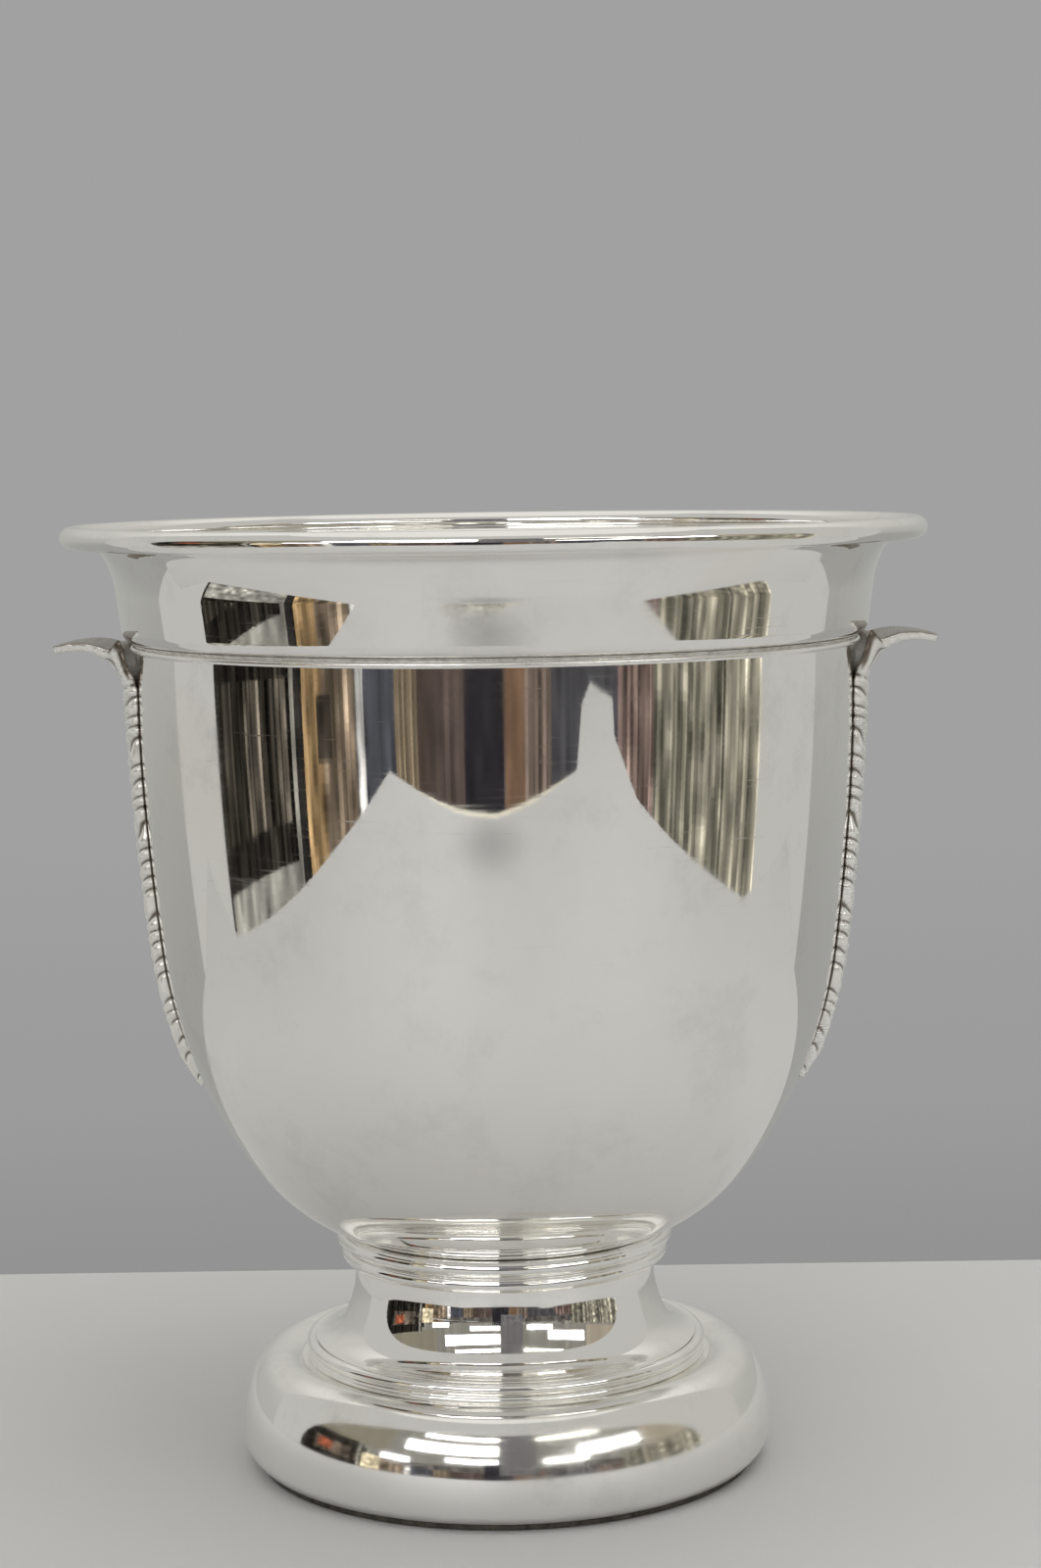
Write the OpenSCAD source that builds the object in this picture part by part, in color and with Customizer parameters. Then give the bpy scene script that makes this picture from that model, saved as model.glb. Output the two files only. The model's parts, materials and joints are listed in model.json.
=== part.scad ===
// Champagne bucket on a pedestal foot, in silver-plated brass.
// A spun bowl and a flared neck are soldered at a seam, a round wire stiffens the rim, and two
// cast leaves are the handles. A tie stud holds the foot, its two rings and its stem to the bowl.
// Millimetres, +Z up. The origin is the centre of the base, on the surface it stands on.

/* [Bowl] */
// Outer radius of the bowl at the neck seam
body_r = 104.6; // [92:0.1:120]
// Inward lean of the wall at the seam, in degrees
body_lean = 0.7; // [0:0.1:2]
// Radius of the long, nearly straight side
side_arc_r = 820; // [650:10:1100]
// Height of the side
side_h = 90.2; // [75:0.1:110]
// Radius of the belly below the side
belly_arc_r = 136; // [112:1:165]
// Height of the belly
belly_h = 65.5; // [54:0.5:79]
// Radius of the turn into the flat bottom
base_arc_r = 55.2; // [48:0.1:60]
// Wall of the bowl
bowl_t = 1; // [0.8:0.1:2]

/* [Neck] */
// How far the neck stands out past the bowl
neck_out = 3.6; // [3:0.1:4.5]
// Radius of the shoulder that turns out from the seam
shoulder_r = 4; // [3.2:0.1:4.6]
// Outward lean of the neck, in degrees
neck_lean = 6.9; // [3:0.1:9]
// Height of the straight part of the neck
neck_h = 10.8; // [6:0.1:13]
// Radius of the slow part of the flare
flare_arc_r = 30; // [24:1:38]
// Lean at which the flare tightens, in degrees
flare_lean = 26; // [20:1:32]
// Radius of the tight part of the flare, under the rim
lip_arc_r = 7; // [5.5:0.1:8.5]
// Width of the flat that carries the rim wire
lip_w = 2.9; // [2.2:0.1:4]
// Wall of the neck
neck_t = 1; // [0.8:0.1:1.6]
// Diameter of the wire in the rim
rim_wire_d = 6.3; // [5.2:0.1:7.6]
// How far the centre of the rim wire lies above the edge of the neck
rim_wire_lift = 2.4; // [2:0.1:2.6]
// Diameter of the thin wire soldered in the seam below the neck
seam_wire_d = 1.7; // [1.2:0.1:2.2]
// Distance of the seam wire below the neck
seam_wire_drop = 1.7; // [1.2:0.1:3]

/* [Handles] */
// Height of the leaf's lower tip above the bowl's bottom
leaf_tip_h = 46.5; // [35:0.5:80]
// Half width of the leaf where it bends away from the bowl
leaf_root_w = 23; // [18:0.5:26]
// Half width of the leaf at the middle of its length
leaf_mid_w = 13; // [9:0.5:16]
// Thickness of the leaf on its centre line
leaf_t = 4; // [2.6:0.1:4.6]
// How far the grip reaches out from the bowl
grip_reach = 23.4; // [18:0.1:27]
// Height of the highest point of the grip below the seam (negative is above it)
grip_drop = -0.2; // [-1:0.1:2]
// Radius of the hollow under the grip
grip_bend_r = 11; // [9:0.5:13]
// Number of lobes along each edge of the leaf
leaf_lobes = 24; // [16:1:30]
// Depth of the notch between two lobes
lobe_depth = 1; // [0.4:0.1:1.4]

/* [Pedestal] */
// Radius of the waist, at its narrowest
waist_r = 44; // [38:0.5:50]
// Height of the straight part of the waist
waist_h = 0.4; // [0.2:0.1:5]
// Radius of the slow part of the cove below the waist
cove_arc_r = 39; // [30:1:48]
// Lean at which the cove tightens, in degrees
cove_lean = 25.5; // [20:0.5:30]
// Radius at which the cove ends on the lower ring
cove_end_r = 56.2; // [54:0.1:57.4]
// Wall of the stem
stem_t = 1.2; // [0.8:0.1:1.8]
// Height of the spigot that enters the upper ring
spigot_h = 4; // [2:0.1:5]
// Diameter of the bead on the upper ring
bead_d = 4.8; // [3.6:0.1:5.4]
// Height of the bead's centre above the stem's shoulder
bead_h = 7.3; // [6.6:0.1:8]
// How far the bead stands out from the band that carries it
bead_out = 4.4; // [3.6:0.1:5]
// Diameter of the second bead, under the first
low_bead_d = 4.8; // [4:0.1:5]
// How far the second bead stands out from the band
low_bead_out = 2.9; // [2.2:0.1:3.2]
// Thickness of the band of the upper ring
band_t = 1.7; // [1.4:0.1:2.4]
// Height of the lower ring's seat above the foot's flange
lower_ring_h = 4.8; // [4.4:0.1:5.6]
// Radial width of the lower ring under the stem
lower_ring_w = 2; // [1.5:0.1:3]
// Diameter of the half-round bead at the top of the lower ring
lip_bead_d = 3.6; // [3:0.1:4]
// Diameter of the reed below it
reed_d = 2.4; // [2:0.1:2.8]
// How far the reed stands out past the end of the cove
reed_out = 2.8; // [2.2:0.1:3.4]

/* [Foot] */
// Widest radius of the foot
foot_r = 78.5; // [74:0.1:90]
// Height of the widest point
foot_wide_h = 10; // [7:0.1:12]
// Radius of the foot's crest
crest_r = 66.2; // [64:0.1:69]
// Height of the crest
crest_h = 33.2; // [27:0.1:38]
// Radius of the section at the crest
crest_arc_r = 8.5; // [7:0.1:9.5]
// Depth of the flange, which carries the lower ring, below the crest
flange_drop = 2.2; // [1.5:0.1:3]
// Inner radius of the flange
flange_r = 51; // [46:0.5:52]
// Wall of the foot
foot_t = 1.2; // [0.8:0.1:1.8]
// Height of the wire under the edge of the foot
base_wire_h = 1.4; // [1.3:0.1:2.4]
// Width of that wire
base_wire_w = 1.4; // [1:0.1:2]
// How far the wire is set back inside the foot's edge
base_wire_in = 0.3; // [0:0.1:0.8]

/* [Fastening] */
// Diameter of the tie stud
stud_d = 8; // [6:1:10]
// Radius of the stud's head, soldered under the bowl
stud_head_r = 12; // [9:0.5:16]
// Thickness of the stud's head
stud_head_h = 2; // [1.5:0.1:3]
// Thickness of the clamp plate
plate_t = 2; // [1.5:0.1:3]
// How far the plate reaches under the foot's flange
plate_lap = 2.5; // [1.5:0.1:4]
// Radius of the washer
washer_r = 9; // [8:0.5:12]
// Thickness of the washer
washer_t = 1.6; // [1:0.1:2.5]
// Width of the nut across its flats
nut_af = 13; // [11:0.5:17]
// Height of the nut
nut_h = 6.5; // [5:0.1:8]
// Length of stud that shows below the nut
stud_end = 2.5; // [1:0.1:5]

/* [Fits] */
// Gap filled with solder between the handles and the bowl
solder_gap = 0.1; // [0.05:0.05:0.3]
// Sliding clearance of the spigot in its ring, and of the stud in its holes
slide_gap = 0.1; // [0.05:0.05:0.3]

/* [Hidden] */
$fn = 96;

// Pedestal levels, from the table up.
flange_z = crest_h - flange_drop;
lower_ring_z = flange_z + lower_ring_h;
lip_bead_r = lip_bead_d / 2;
cove_end_z = lower_ring_z + stem_t;
cove_end_a = 88;
cove_turn_r = waist_r + cove_arc_r * (1 - cos(cove_lean));
cove_low_r = (cove_end_r - cove_turn_r) / (cos(cove_lean) - cos(cove_end_a));
cove_low_c = [cove_turn_r + cove_low_r * cos(cove_lean), cove_end_z + cove_low_r * sin(cove_end_a)];
cove_c = cove_low_c + (cove_arc_r - cove_low_r) * [cos(cove_lean), sin(cove_lean)];
shoulder_z = cove_c[1] + waist_h;
bead_z = shoulder_z + bead_h;
spigot_r = waist_r - stem_t / 2;
band_in_r = spigot_r + slide_gap;
band_out_r = band_in_r + band_t;
bead_c_r = band_out_r + bead_out - bead_d / 2;
low_bead_c = [band_out_r + low_bead_out - low_bead_d / 2, shoulder_z + low_bead_d / 2];

// Bowl: three arcs that share a tangent, each given by the lean of the wall from upright.
lean_1 = asin(side_h / side_arc_r + sin(body_lean));
lean_2 = asin(belly_h / belly_arc_r + sin(lean_1));
bowl_flat_r = body_r - side_arc_r * (cos(body_lean) - cos(lean_1))
    - belly_arc_r * (cos(lean_1) - cos(lean_2)) - base_arc_r * cos(lean_2);
bowl_h = side_h + belly_h + base_arc_r * (1 - sin(lean_2));
bowl_z = bead_z - base_arc_r + solder_gap / 4
    + sqrt(pow(base_arc_r + bead_d / 2, 2) - pow(bead_c_r - bowl_flat_r, 2));
seam_z = bowl_z + bowl_h;

base_c = [bowl_flat_r, bowl_z + base_arc_r];
belly_c = base_c + (base_arc_r - belly_arc_r) * [cos(lean_2), -sin(lean_2)];
side_c = belly_c + (belly_arc_r - side_arc_r) * [cos(lean_1), -sin(lean_1)];

// Neck: shoulder, straight part, slow flare, tight flare and the flat under the rim wire.
shoulder_c = [body_r + neck_out - shoulder_r, seam_z + shoulder_r];
neck_start = shoulder_c + shoulder_r * [cos(neck_lean), -sin(neck_lean)];
neck_end = neck_start + neck_h * [tan(neck_lean), 1];
flare_c = neck_end + flare_arc_r * [cos(neck_lean), -sin(neck_lean)];
lip_c = flare_c + (lip_arc_r - flare_arc_r) * [cos(flare_lean), -sin(flare_lean)];
lip_lean = 84;
lip_end = lip_c - lip_arc_r * [cos(lip_lean), -sin(lip_lean)] + lip_w * [sin(lip_lean), cos(lip_lean)];
rim_wire_in = 1.15;
rim_wire_c = lip_end + [rim_wire_in, rim_wire_lift];

// Foot: an arc from its widest point meets the crest's arc on a shared tangent.
crest_c = [crest_r, crest_h - crest_arc_r];
rise = crest_c[1] - foot_wide_h;
run = foot_r - crest_r;
foot_arc_r = (pow(run, 2) + pow(rise, 2) - pow(crest_arc_r, 2)) / (2 * (run - crest_arc_r));
foot_c = [foot_r - foot_arc_r, foot_wide_h];
foot_join_a = atan2(rise, crest_c[0] - foot_c[0]);
tuck_arc_r = foot_wide_h;
tuck_c = [foot_r - tuck_arc_r, foot_wide_h];
tuck_end_a = asin((foot_wide_h - base_wire_h) / tuck_arc_r);
foot_edge_r = tuck_c[0] + tuck_arc_r * cos(tuck_end_a);
crest_in_a = 90 + acos((flange_z - crest_c[1]) / crest_arc_r);

// Leaf: its back follows the bowl, turns out through the bend and droops a little to the lip.
leaf_tip_z = bowl_z + leaf_tip_h;
leaf_back_r = grip_bend_r + leaf_t;
bend_z = seam_z - grip_drop - leaf_back_r;
bend_c = [bowl_r(bend_z) + solder_gap + leaf_back_r, bend_z];
droop_r = 2 * leaf_back_r;
droop_a = asin((body_r + grip_reach - bend_c[0]) / droop_r);
leaf_cols = 12;
leaf_edge_t = 0.7;
leaf_tip_w = 1.5;
leaf_swell = 0.35;
curl_h = 5;
curl_at = 47;
curl_spread = 9;

plate_z = flange_z - foot_t - plate_t;
nut_z = plate_z - washer_t - nut_h;
plate_r = flange_r + plate_lap;

// Points on an arc about c, from angle a to angle b.
function arc(c, r, a, b, steps) =
    [for (i = [0:steps]) let (t = a + (b - a) * i / steps) c + r * [cos(t), sin(t)]];

function reversed(points) = [for (i = [len(points) - 1:-1:0]) points[i]];

// The bowl's wall on the side that lies `inset` inside its outer face, from the seam down.
function bowl_line(inset) = concat(
    arc(side_c, side_arc_r - inset, -body_lean, -lean_1, 16),
    arc(belly_c, belly_arc_r - inset, -lean_1, -lean_2, 20),
    arc(base_c, base_arc_r - inset, -lean_2, -90, 24));

// The neck's wall on the side that lies `inset` inside its outer face, from the seam up.
function neck_line(inset) = concat(
    arc(shoulder_c, shoulder_r - inset, -90, -neck_lean, 12),
    arc(flare_c, flare_arc_r + inset, 180 - neck_lean, 180 - flare_lean, 12),
    arc(lip_c, lip_arc_r + inset, 180 - flare_lean, 180 - lip_lean, 14),
    [lip_end + inset * [-cos(lip_lean), sin(lip_lean)]]);

// Outer radius of the bowl at height z.
function bowl_r(z) =
    z > side_c[1] - side_arc_r * sin(lean_1)
        ? side_c[0] + sqrt(pow(side_arc_r, 2) - pow(side_c[1] - z, 2))
        : z > belly_c[1] - belly_arc_r * sin(lean_2)
            ? belly_c[0] + sqrt(pow(belly_arc_r, 2) - pow(belly_c[1] - z, 2))
            : base_c[0] + sqrt(pow(base_arc_r, 2) - pow(base_c[1] - z, 2));

module bowl() {
    color("silver")
        rotate_extrude(angle = 360)
            polygon(concat([[0, bowl_z + bowl_t], [0, bowl_z]], reversed(bowl_line(0)),
                [[body_r - bowl_t, seam_z]], bowl_line(bowl_t)));
}

module neck() {
    color("silver")
        rotate_extrude(angle = 360)
            difference() {
                polygon(concat([[body_r - bowl_t, seam_z]], neck_line(0), reversed(neck_line(neck_t)),
                    [[body_r - bowl_t, seam_z + neck_t]]));
                translate(rim_wire_c)
                    circle(d = rim_wire_d + solder_gap);
            }
}

module rim_wire() {
    color("silver")
        rotate_extrude(angle = 360)
            translate(rim_wire_c)
                circle(d = rim_wire_d);
}

module seam_wire() {
    wire_r = seam_wire_d / 2;
    color("silver")
        rotate_extrude(angle = 360)
            difference() {
                translate([body_r + wire_r / 3, seam_z - seam_wire_drop])
                    circle(d = seam_wire_d);
                translate([0, seam_z - seam_wire_drop - seam_wire_d])
                    square([body_r + solder_gap / 2, 2 * seam_wire_d]);
            }
}

// Lean of the bowl's wall from upright at height z.
function wall_lean(z) =
    z > side_c[1] - side_arc_r * sin(lean_1)
        ? asin((side_c[1] - z) / side_arc_r)
        : asin((belly_c[1] - z) / belly_arc_r);

// A place along the leaf: [radius, height, direction its face looks in, half width, thickness, curl].
// On the bowl, from the tip (q = 0) to the bend (q = 1).
function leaf_on_bowl(q) =
    let (
        z = leaf_tip_z + q * (bend_z - leaf_tip_z),
        lobe = abs(sin(180 * leaf_lobes * q)),
        swell = leaf_mid_w * sin(90 * min(1, q / leaf_swell)),
        w = leaf_tip_w + swell + (leaf_root_w - leaf_mid_w - leaf_tip_w) * pow(q, 5)
    )
    [bowl_r(z) + solder_gap, z, -wall_lean(z), w - lobe_depth * (1 - lobe),
        leaf_t * (0.75 + 0.25 * lobe) * min(1, 0.6 + 5 * q), 0];

// Along the grip, g degrees past the start of the bend.
function leaf_on_grip(g) =
    let (
        a = 180 - g,
        past = g > 90,
        c = past ? bend_c + [0, leaf_back_r - droop_r] : bend_c,
        r = past ? droop_r : leaf_back_r,
        v = g / (90 + droop_a)
    )
    [c[0] + r * cos(a), c[1] + r * sin(a), -g, leaf_root_w * sqrt(1 - 0.8 * v * v),
        leaf_t * (1 - 0.35 * v * v), curl_h * exp(-pow((g - curl_at) / curl_spread, 2))];

// One ring of points around the leaf: across its face, then back across its rear.
function leaf_ring(p) =
    let (across = [for (j = [0:leaf_cols]) 2 * j / leaf_cols - 1])
    concat(
        [for (s = across) let (h = p[4] * (1 - (1 - leaf_edge_t) * pow(abs(s), 3)))
            leaf_point(p, s, p[0] + h * cos(p[2]), p[1] + h * sin(p[2]))],
        [for (s = reversed(across)) leaf_point(p, s, p[0], p[1])]);

function leaf_point(p, s, r, z) =
    let (turn = s * p[3] / p[0] * 180 / PI)
    [r * cos(turn), r * sin(turn), z + p[5] * pow(abs(s), 5)];

module leaf() {
    bend_steps = 15;
    droop_steps = 6;
    places = concat(
        [for (i = [0:4 * leaf_lobes]) leaf_on_bowl(i / leaf_lobes / 4)],
        [for (i = [1:bend_steps]) leaf_on_grip(90 * i / bend_steps)],
        [for (i = [1:droop_steps]) leaf_on_grip(90 + droop_a * i / droop_steps)]);
    around = 2 * (leaf_cols + 1);
    last = (len(places) - 1) * around;
    skin = [for (i = [0:len(places) - 2], j = [0:around - 1])
        let (a = i * around + j, b = i * around + (j + 1) % around)
        each [[a, b, b + around], [a, b + around, a + around]]];
    caps = [for (j = [0:leaf_cols - 1])
        let (k = around - 1 - j)
        each [[j, k, k - 1], [j, k - 1, j + 1],
            [last + j, last + k - 1, last + k], [last + j, last + j + 1, last + k - 1]]];
    polyhedron([for (p = places) each leaf_ring(p)], concat(skin, caps));
}

module handle_right() {
    color("silver")
        leaf();
}

module handle_left() {
    color("silver")
        mirror([1, 0, 0])
            leaf();
}

module upper_ring() {
    color("silver")
        rotate_extrude(angle = 360)
            union() {
                translate([band_in_r, shoulder_z])
                    square([band_t, bead_h]);
                translate([bead_c_r, bead_z])
                    circle(d = bead_d);
                intersection() {
                    translate(low_bead_c)
                        circle(d = low_bead_d);
                    translate([band_in_r, shoulder_z])
                        square([low_bead_d + low_bead_out, low_bead_d]);
                }
            }
}

module stem() {
    foot_in_a = asin((cove_low_c[1] - lower_ring_z) / (cove_low_r + stem_t));
    color("silver")
        rotate_extrude(angle = 360)
            polygon(concat(
                arc(cove_c, cove_arc_r, 180, 180 + cove_lean, 14),
                arc(cove_low_c, cove_low_r, 180 + cove_lean, 180 + cove_end_a, 14),
                [[cove_end_r, lower_ring_z]],
                arc(cove_low_c, cove_low_r + stem_t, 180 + foot_in_a, 180 + cove_lean, 14),
                arc(cove_c, cove_arc_r + stem_t, 180 + cove_lean, 180, 14),
                [[waist_r - stem_t, shoulder_z + spigot_h], [spigot_r, shoulder_z + spigot_h],
                    [spigot_r, shoulder_z], [waist_r, shoulder_z]]));
}

module lower_ring() {
    ring_out_r = cove_end_r + reed_out - reed_d / 2;
    color("silver")
        rotate_extrude(angle = 360)
            difference() {
                union() {
                    translate([cove_end_r - lower_ring_w, flange_z])
                        square([ring_out_r - cove_end_r + lower_ring_w, lower_ring_h]);
                    translate([ring_out_r, flange_z + reed_d / 2])
                        circle(d = reed_d);
                    translate([cove_end_r + slide_gap, flange_z + reed_d])
                        square([ring_out_r - cove_end_r - slide_gap, lip_bead_r]);
                    translate([ring_out_r - lip_bead_r / 4, flange_z + reed_d + lip_bead_r - slide_gap])
                        circle(d = lip_bead_d);
                }
                translate([0, lower_ring_z])
                    square([cove_end_r + slide_gap, lip_bead_d]);
            }
}

module foot() {
    in_a = 90 + acos((flange_z - foot_t - crest_c[1]) / (crest_arc_r - foot_t));
    color("silver")
        rotate_extrude(angle = 360)
            polygon(concat(
                arc(tuck_c, tuck_arc_r, -tuck_end_a, 0, 10),
                arc(foot_c, foot_arc_r, 0, foot_join_a, 24),
                arc(crest_c, crest_arc_r, foot_join_a, crest_in_a, 16),
                [[flange_r, flange_z], [flange_r, flange_z - foot_t]],
                arc(crest_c, crest_arc_r - foot_t, in_a, foot_join_a, 16),
                arc(foot_c, foot_arc_r - foot_t, foot_join_a, 0, 24),
                arc(tuck_c, tuck_arc_r - foot_t, 0, -asin((foot_wide_h - base_wire_h)
                    / (tuck_arc_r - foot_t)), 10)));
}

module base_wire() {
    color("silver")
        rotate_extrude(angle = 360)
            translate([foot_edge_r - base_wire_in - base_wire_w, 0])
                square([base_wire_w, base_wire_h]);
}

module tie_stud() {
    color("goldenrod")
        union() {
            translate([0, 0, bowl_z - stud_head_h])
                cylinder(h = stud_head_h, r = stud_head_r);
            translate([0, 0, nut_z - stud_end])
                cylinder(h = bowl_z - stud_head_h - nut_z + stud_end, d = stud_d);
        }
}

module clamp_plate() {
    color("goldenrod")
        difference() {
            translate([0, 0, plate_z])
                cylinder(h = plate_t, r = plate_r);
            translate([0, 0, plate_z - plate_t])
                cylinder(h = 3 * plate_t, d = stud_d + 2 * slide_gap);
        }
}

module washer() {
    color("goldenrod")
        difference() {
            translate([0, 0, plate_z - washer_t])
                cylinder(h = washer_t, r = washer_r);
            translate([0, 0, plate_z - 2 * washer_t])
                cylinder(h = 3 * washer_t, d = stud_d + 2 * slide_gap);
        }
}

module nut() {
    color("goldenrod")
        difference() {
            translate([0, 0, nut_z])
                cylinder(h = nut_h, d = nut_af / cos(30), $fn = 6);
            translate([0, 0, nut_z - nut_h])
                cylinder(h = 3 * nut_h, d = stud_d + slide_gap / 2);
        }
}

bowl();
neck();
rim_wire();
seam_wire();
handle_left();
handle_right();
upper_ring();
stem();
lower_ring();
foot();
base_wire();
tie_stud();
clamp_plate();
washer();
nut();
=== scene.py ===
# %% [markdown]
# A footed silver champagne bucket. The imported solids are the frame: they say where every piece is.
# On top of them this file builds the surfaces that are seen, each as a function of two parameters
# or as a section turned about the axis, and gives each one a procedural finish.

import json
import math

import bpy
import numpy as np
from mathutils import Matrix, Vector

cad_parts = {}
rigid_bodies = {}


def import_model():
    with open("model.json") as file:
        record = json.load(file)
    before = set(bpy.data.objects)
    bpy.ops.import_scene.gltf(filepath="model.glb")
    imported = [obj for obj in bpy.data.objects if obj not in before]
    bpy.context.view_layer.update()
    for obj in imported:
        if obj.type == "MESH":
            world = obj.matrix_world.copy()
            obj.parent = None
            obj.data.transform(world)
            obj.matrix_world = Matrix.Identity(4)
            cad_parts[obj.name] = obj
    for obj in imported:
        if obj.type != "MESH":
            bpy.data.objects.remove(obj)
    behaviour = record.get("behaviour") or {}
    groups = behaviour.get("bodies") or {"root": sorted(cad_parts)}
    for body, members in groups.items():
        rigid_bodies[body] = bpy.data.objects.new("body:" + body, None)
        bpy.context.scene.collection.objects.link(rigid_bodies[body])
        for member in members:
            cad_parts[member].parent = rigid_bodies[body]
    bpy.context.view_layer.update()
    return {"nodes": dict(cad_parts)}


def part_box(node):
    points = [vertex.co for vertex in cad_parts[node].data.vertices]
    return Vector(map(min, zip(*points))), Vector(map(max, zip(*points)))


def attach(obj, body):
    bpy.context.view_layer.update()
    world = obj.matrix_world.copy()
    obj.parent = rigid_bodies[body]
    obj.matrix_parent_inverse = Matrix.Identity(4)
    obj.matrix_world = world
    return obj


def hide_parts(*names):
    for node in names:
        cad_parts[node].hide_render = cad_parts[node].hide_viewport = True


for left_over in list(bpy.data.objects):
    bpy.data.objects.remove(left_over)
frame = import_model()
MM = 0.001

# %% [markdown]
# The camera stands a little under a metre in front of the bucket, 30 cm above the table, and looks
# slightly down. A long lens from there keeps the rim a thin ellipse, as a product picture does.

# %% Camera
CAMERA_PLACE = (0.0067, -0.9342, 0.2972)
CAMERA_PITCH = math.radians(5.94)
CAMERA_ROLL = math.radians(-0.81)
CAMERA_LENS = 73.59

camera = bpy.data.objects.new("camera", bpy.data.cameras.new("camera"))
bpy.context.collection.objects.link(camera)
camera.data.lens = CAMERA_LENS
camera.data.sensor_width = 36.0
forward = np.array([0.0, math.cos(CAMERA_PITCH), -math.sin(CAMERA_PITCH)])
level = np.array([1.0, 0.0, 0.0])
upright = np.array([0.0, math.sin(CAMERA_PITCH), math.cos(CAMERA_PITCH)])
right = math.cos(CAMERA_ROLL) * level + math.sin(CAMERA_ROLL) * upright
top = -math.sin(CAMERA_ROLL) * level + math.cos(CAMERA_ROLL) * upright
turn = Matrix(np.stack([right, top, -forward], axis=1).tolist()).to_4x4()
camera.matrix_world = Matrix.Translation(CAMERA_PLACE) @ turn
bpy.context.scene.camera = camera
print("camera at", CAMERA_PLACE, "with a", CAMERA_LENS, "mm lens")

# %% [markdown]
# Spinning and wire drawing give pieces that are round about the axis. Each is drawn the way a
# spinner thinks of it: as the outline of its section, made of arcs and straight runs, carried once
# round the axis. True arcs matter here, because polished silver shows every flat in a reflection.

# %% Helpers for sections
def arc(centre, radius, start, end, steps):
    """Points centre + radius (cos a, sin a), for a going evenly from start to end in degrees."""
    a = np.radians(np.linspace(start, end, steps + 1))
    return np.array(centre) + radius * np.stack([np.cos(a), np.sin(a)], axis=1)


def joined(*parts):
    """One closed outline from several, leaving out points that repeat the one before."""
    points = np.vstack([np.atleast_2d(part) for part in parts])
    gap = np.hypot(*(points - np.roll(points, 1, axis=0)).T)
    return points[gap > 1e-4]


def cosd(a):
    return math.cos(math.radians(a))


def sind(a):
    return math.sin(math.radians(a))


print("arc of 2 steps:", arc((0, 0), 10, 0, 90, 2).round(2).tolist())

# %% Helper that makes a mesh object
def as_object(name, points, faces, hard_edges=None):
    """A smooth-shaded mesh at the origin. hard_edges is an array of vertex pairs kept crisp."""
    mesh = bpy.data.meshes.new(name)
    mesh.from_pydata(points.tolist(), [], faces)
    mesh.polygons.foreach_set("use_smooth", np.ones(len(mesh.polygons), dtype=bool))
    if hard_edges is not None and len(hard_edges):
        ends = np.empty(2 * len(mesh.edges), dtype=np.int32)
        mesh.edges.foreach_get("vertices", ends)
        ends = np.sort(ends.reshape(-1, 2).astype(np.int64), axis=1)
        hard = np.sort(hard_edges.astype(np.int64), axis=1)
        marked = np.isin(ends @ [len(points), 1], hard @ [len(points), 1])
        mesh.attributes.new("sharp_edge", "BOOLEAN", "EDGE").data.foreach_set("value", marked)
    mesh.update()
    obj = bpy.data.objects.new(name, mesh)
    bpy.context.collection.objects.link(obj)
    print(f"{name}: {len(mesh.vertices)} points, {len(mesh.polygons)} faces")
    return obj


# %% Helper that turns a section about the axis
TURN_STEPS = 288
CREASE = math.radians(24)


def turned(name, section, steps=TURN_STEPS):
    """A closed section of (radius, height) in mm, with the metal on its left, turned about Z.

    Point (i, j) is (r_j cos a_i, r_j sin a_i, z_j), with a_i = 2 pi i / steps. Points on the axis
    are one point for every i, so poles are closed. Corners sharper than CREASE stay crisp.
    """
    n = len(section)
    r, z = section.T * MM
    a = 2 * np.pi * np.arange(steps) / steps
    grid = np.stack([np.outer(np.cos(a), r), np.outer(np.sin(a), r), np.outer(np.ones(steps), z)], 2)
    index = np.arange(steps * n).reshape(steps, n)
    pole = r < 1e-7
    index[:, pole] = index[0, pole]
    ahead = np.roll(index, -1, axis=0)
    quads = np.stack([index, ahead, np.roll(ahead, -1, axis=1), np.roll(index, -1, axis=1)], 2)
    used, place = np.unique(quads, return_inverse=True)
    faces = [list(dict.fromkeys(q)) for q in place.reshape(-1, 4).tolist()]
    before = section - np.roll(section, 1, axis=0)
    after = np.roll(before, -1, axis=0)
    cosine = np.sum(before * after, axis=1) / (np.hypot(*before.T) * np.hypot(*after.T))
    corner = np.flatnonzero((np.arccos(np.clip(cosine, -1, 1)) > CREASE) & ~pole)
    crisp = np.stack([index[:, corner].ravel(), ahead[:, corner].ravel()], axis=1)
    return as_object(name, grid.reshape(-1, 3)[used], [f for f in faces if len(f) > 2],
                     np.searchsorted(used, crisp))


# %% [markdown]
# The bowl is spun from one disc. Its side is nearly straight, then a belly arc and a tighter arc
# turn it into a flat bottom. The three arcs meet on shared tangents, so each centre follows from
# the one before. The inner wall uses the same centres with the sheet's thickness taken off.

# %% Bowl: the arcs of its wall
WALL = 1.0
BOWL_R, BOWL_LEAN = 104.6, 0.7
SIDE_R, SIDE_H = 820.0, 90.2
BELLY_R, BELLY_H = 136.0, 65.5
BASE_R = 55.2
LEAN_1 = math.degrees(math.asin(SIDE_H / SIDE_R + sind(BOWL_LEAN)))
LEAN_2 = math.degrees(math.asin(BELLY_H / BELLY_R + sind(LEAN_1)))
FLAT_R = (BOWL_R - SIDE_R * (cosd(BOWL_LEAN) - cosd(LEAN_1))
          - BELLY_R * (cosd(LEAN_1) - cosd(LEAN_2)) - BASE_R * cosd(LEAN_2))
BOWL_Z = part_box("bowl")[0].z / MM
SEAM_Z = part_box("bowl")[1].z / MM
BASE_C = np.array([FLAT_R, BOWL_Z + BASE_R])
BELLY_C = BASE_C + (BASE_R - BELLY_R) * np.array([cosd(LEAN_2), -sind(LEAN_2)])
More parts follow.
